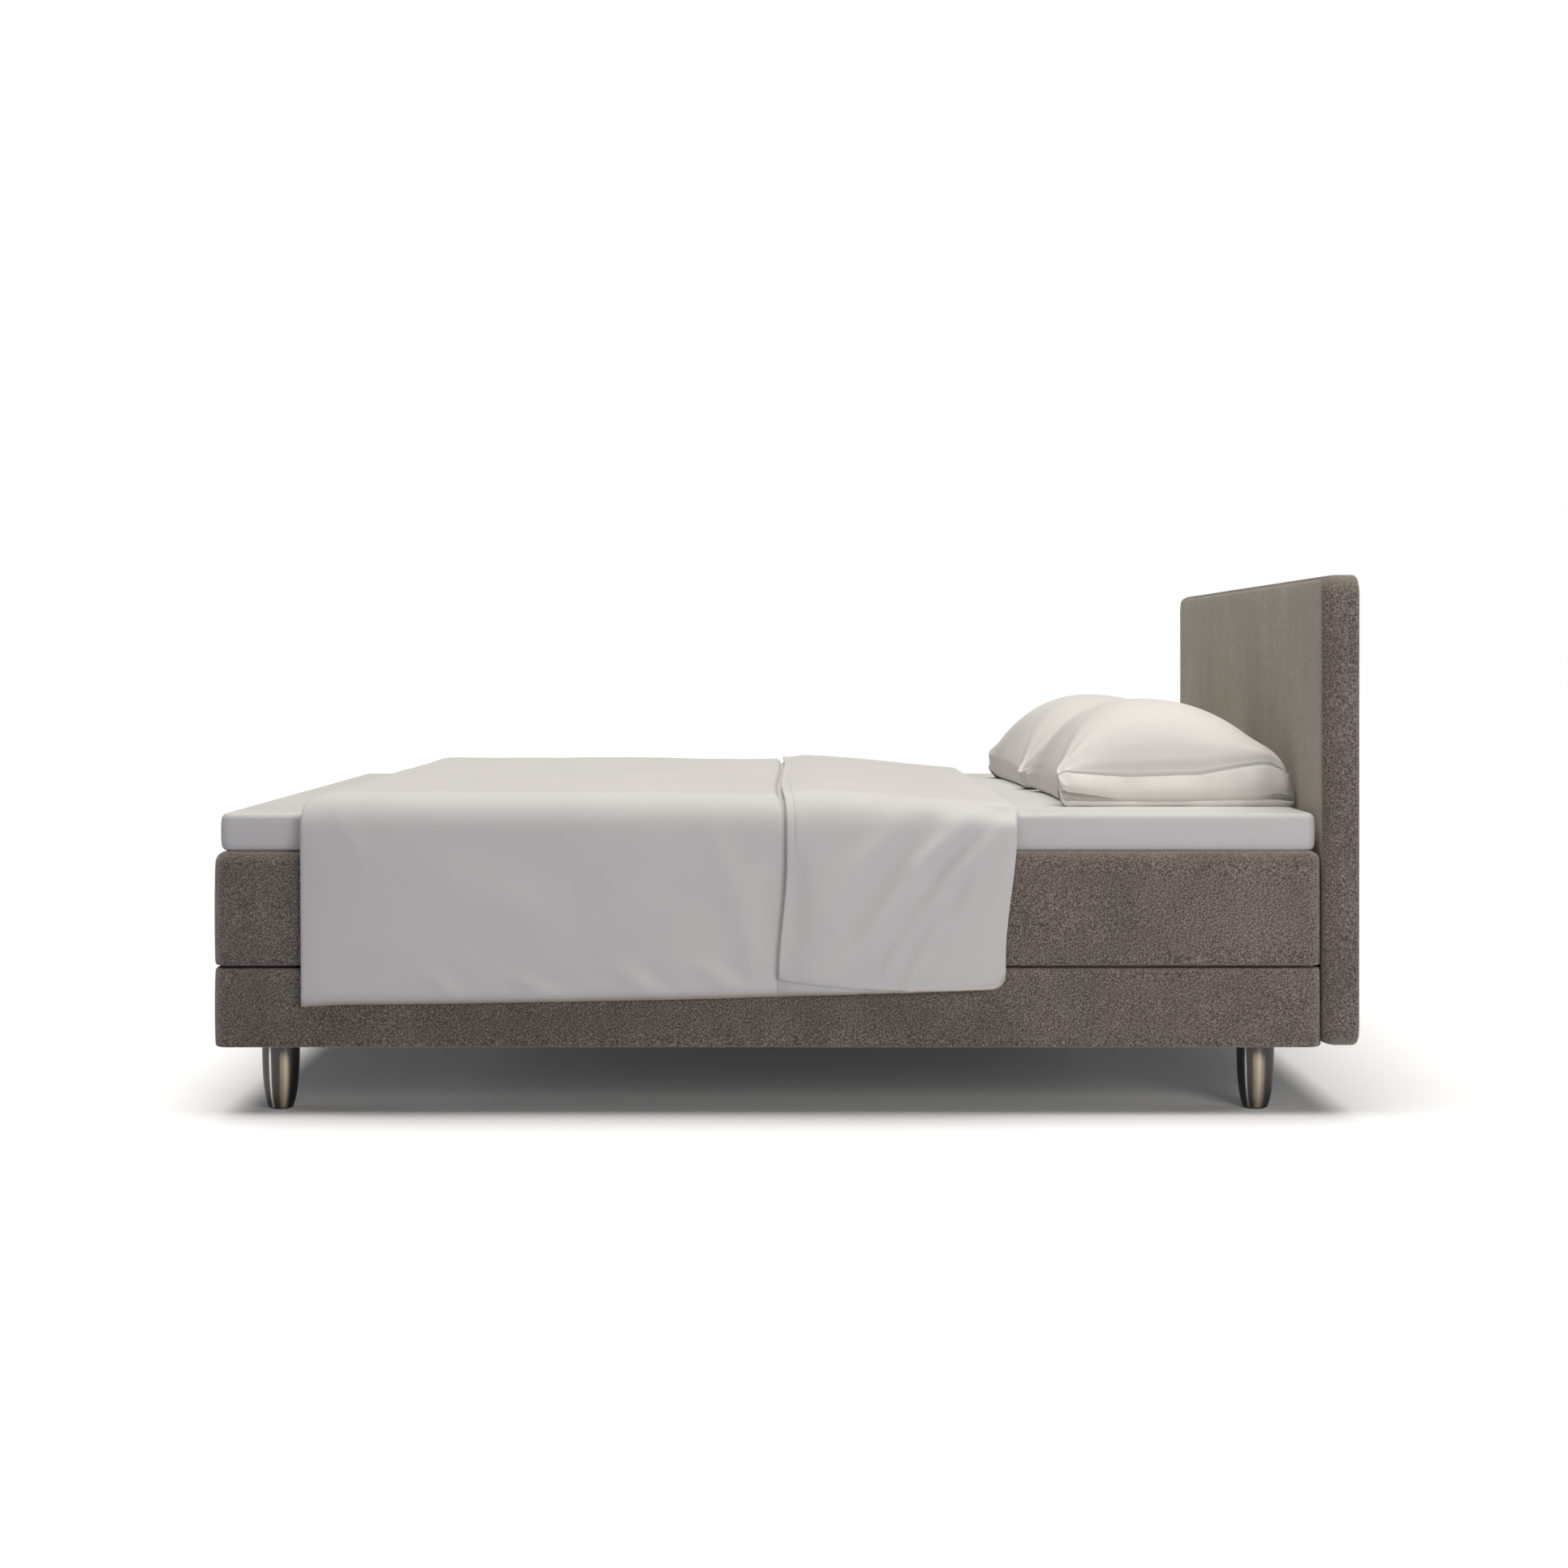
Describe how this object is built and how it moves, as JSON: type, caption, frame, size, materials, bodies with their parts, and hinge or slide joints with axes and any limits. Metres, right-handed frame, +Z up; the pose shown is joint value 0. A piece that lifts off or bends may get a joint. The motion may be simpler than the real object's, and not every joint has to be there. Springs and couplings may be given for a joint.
{
  "type": "box spring bed",
  "caption": "Box spring bed: cloth-covered base on turned metal legs, matching mattress, topper in a fitted sheet, duvet folded back, pillows and an upholstered headboard.",
  "frame": {"origin": "on the floor, under the middle of the whole bed", "axes": "+X along the bed towards the headboard, +Z up, -Y towards the near long side that the picture shows"},
  "size_m": [2.0982, 1.9032, 0.991],
  "materials": {
    "upholstery": "matte",
    "dust_cloth": "matte",
    "timber": "matte",
    "board": "matte",
    "spring_pockets": "matte",
    "foam": "matte",
    "ticking": "matte",
    "leg_metal": "polished",
    "steel": "satin",
    "black_plastic": "matte",
    "sheet_cotton": "satin",
    "duvet_cotton": "satin",
    "pillow_cotton": "matte"
  },
  "bodies": {
    "bed_base": {"side_rail_near": "timber", "side_rail_far": "timber", "end_rail_foot": "timber", "end_rail_head": "timber", "centre_beam": "timber", "slat_1": "timber", "slat_2": "timber", "slat_3": "timber", "slat_4": "timber", "slat_5": "timber", "slat_6": "timber", "corner_block_foot_near": "timber", "corner_block_foot_far": "timber", "corner_block_head_near": "timber", "corner_block_head_far": "timber", "base_spring_unit": "spring_pockets", "base_pad": "foam", "base_cover": "upholstery", "dust_cover": "dust_cloth", "leg_foot_near": "leg_metal", "leg_foot_far": "leg_metal", "leg_head_near": "leg_metal", "leg_head_far": "leg_metal", "leg_centre": "black_plastic", "leg_bolt_foot_near": "steel", "leg_bolt_foot_far": "steel", "leg_bolt_head_near": "steel", "leg_bolt_head_far": "steel", "leg_bolt_centre": "steel", "glider_foot_near": "black_plastic", "glider_foot_far": "black_plastic", "glider_head_near": "black_plastic", "glider_head_far": "black_plastic", "glider_centre": "black_plastic", "headboard_cover": "upholstery", "headboard_back_cloth": "dust_cloth", "headboard_pad": "foam", "headboard_board": "board", "headboard_upright_near": "timber", "headboard_upright_far": "timber", "headboard_rail_bottom": "timber", "headboard_rail_top": "timber", "headboard_bolt_near_low": "steel", "headboard_bolt_near_high": "steel", "headboard_bolt_far_low": "steel", "headboard_bolt_far_high": "steel"},
    "mattress": {"mattress_border": "upholstery", "mattress_top_panel": "ticking", "mattress_bottom_panel": "ticking", "mattress_upper_foam": "foam", "mattress_lower_foam": "foam", "mattress_edge_foam": "foam", "mattress_pocket_springs": "spring_pockets"},
    "topper": {"fitted_sheet": "sheet_cotton", "topper_foam": "foam"},
    "duvet": {"duvet": "duvet_cotton"},
    "pillow_near": {"pillow_near": "pillow_cotton"},
    "pillow_far": {"pillow_far": "pillow_cotton"}
  },
  "joints": [
    {"name": "mattress_lift", "type": "slide", "parent": "bed_base", "child": "mattress", "axis": [0, 0, 1], "range_m": [0, 0.3]},
    {"name": "topper_lift", "type": "slide", "parent": "mattress", "child": "topper", "axis": [0, 0, 1], "range_m": [0, 0.3]},
    {"name": "duvet_lift", "type": "slide", "parent": "topper", "child": "duvet", "axis": [0, 0, 1], "range_m": [0, 0.45]},
    {"name": "pillow_near_lift", "type": "slide", "parent": "topper", "child": "pillow_near", "axis": [0, 0, 1], "range_m": [0, 0.45]},
    {"name": "pillow_far_lift", "type": "slide", "parent": "topper", "child": "pillow_far", "axis": [0, 0, 1], "range_m": [0, 0.45]}
  ]
}
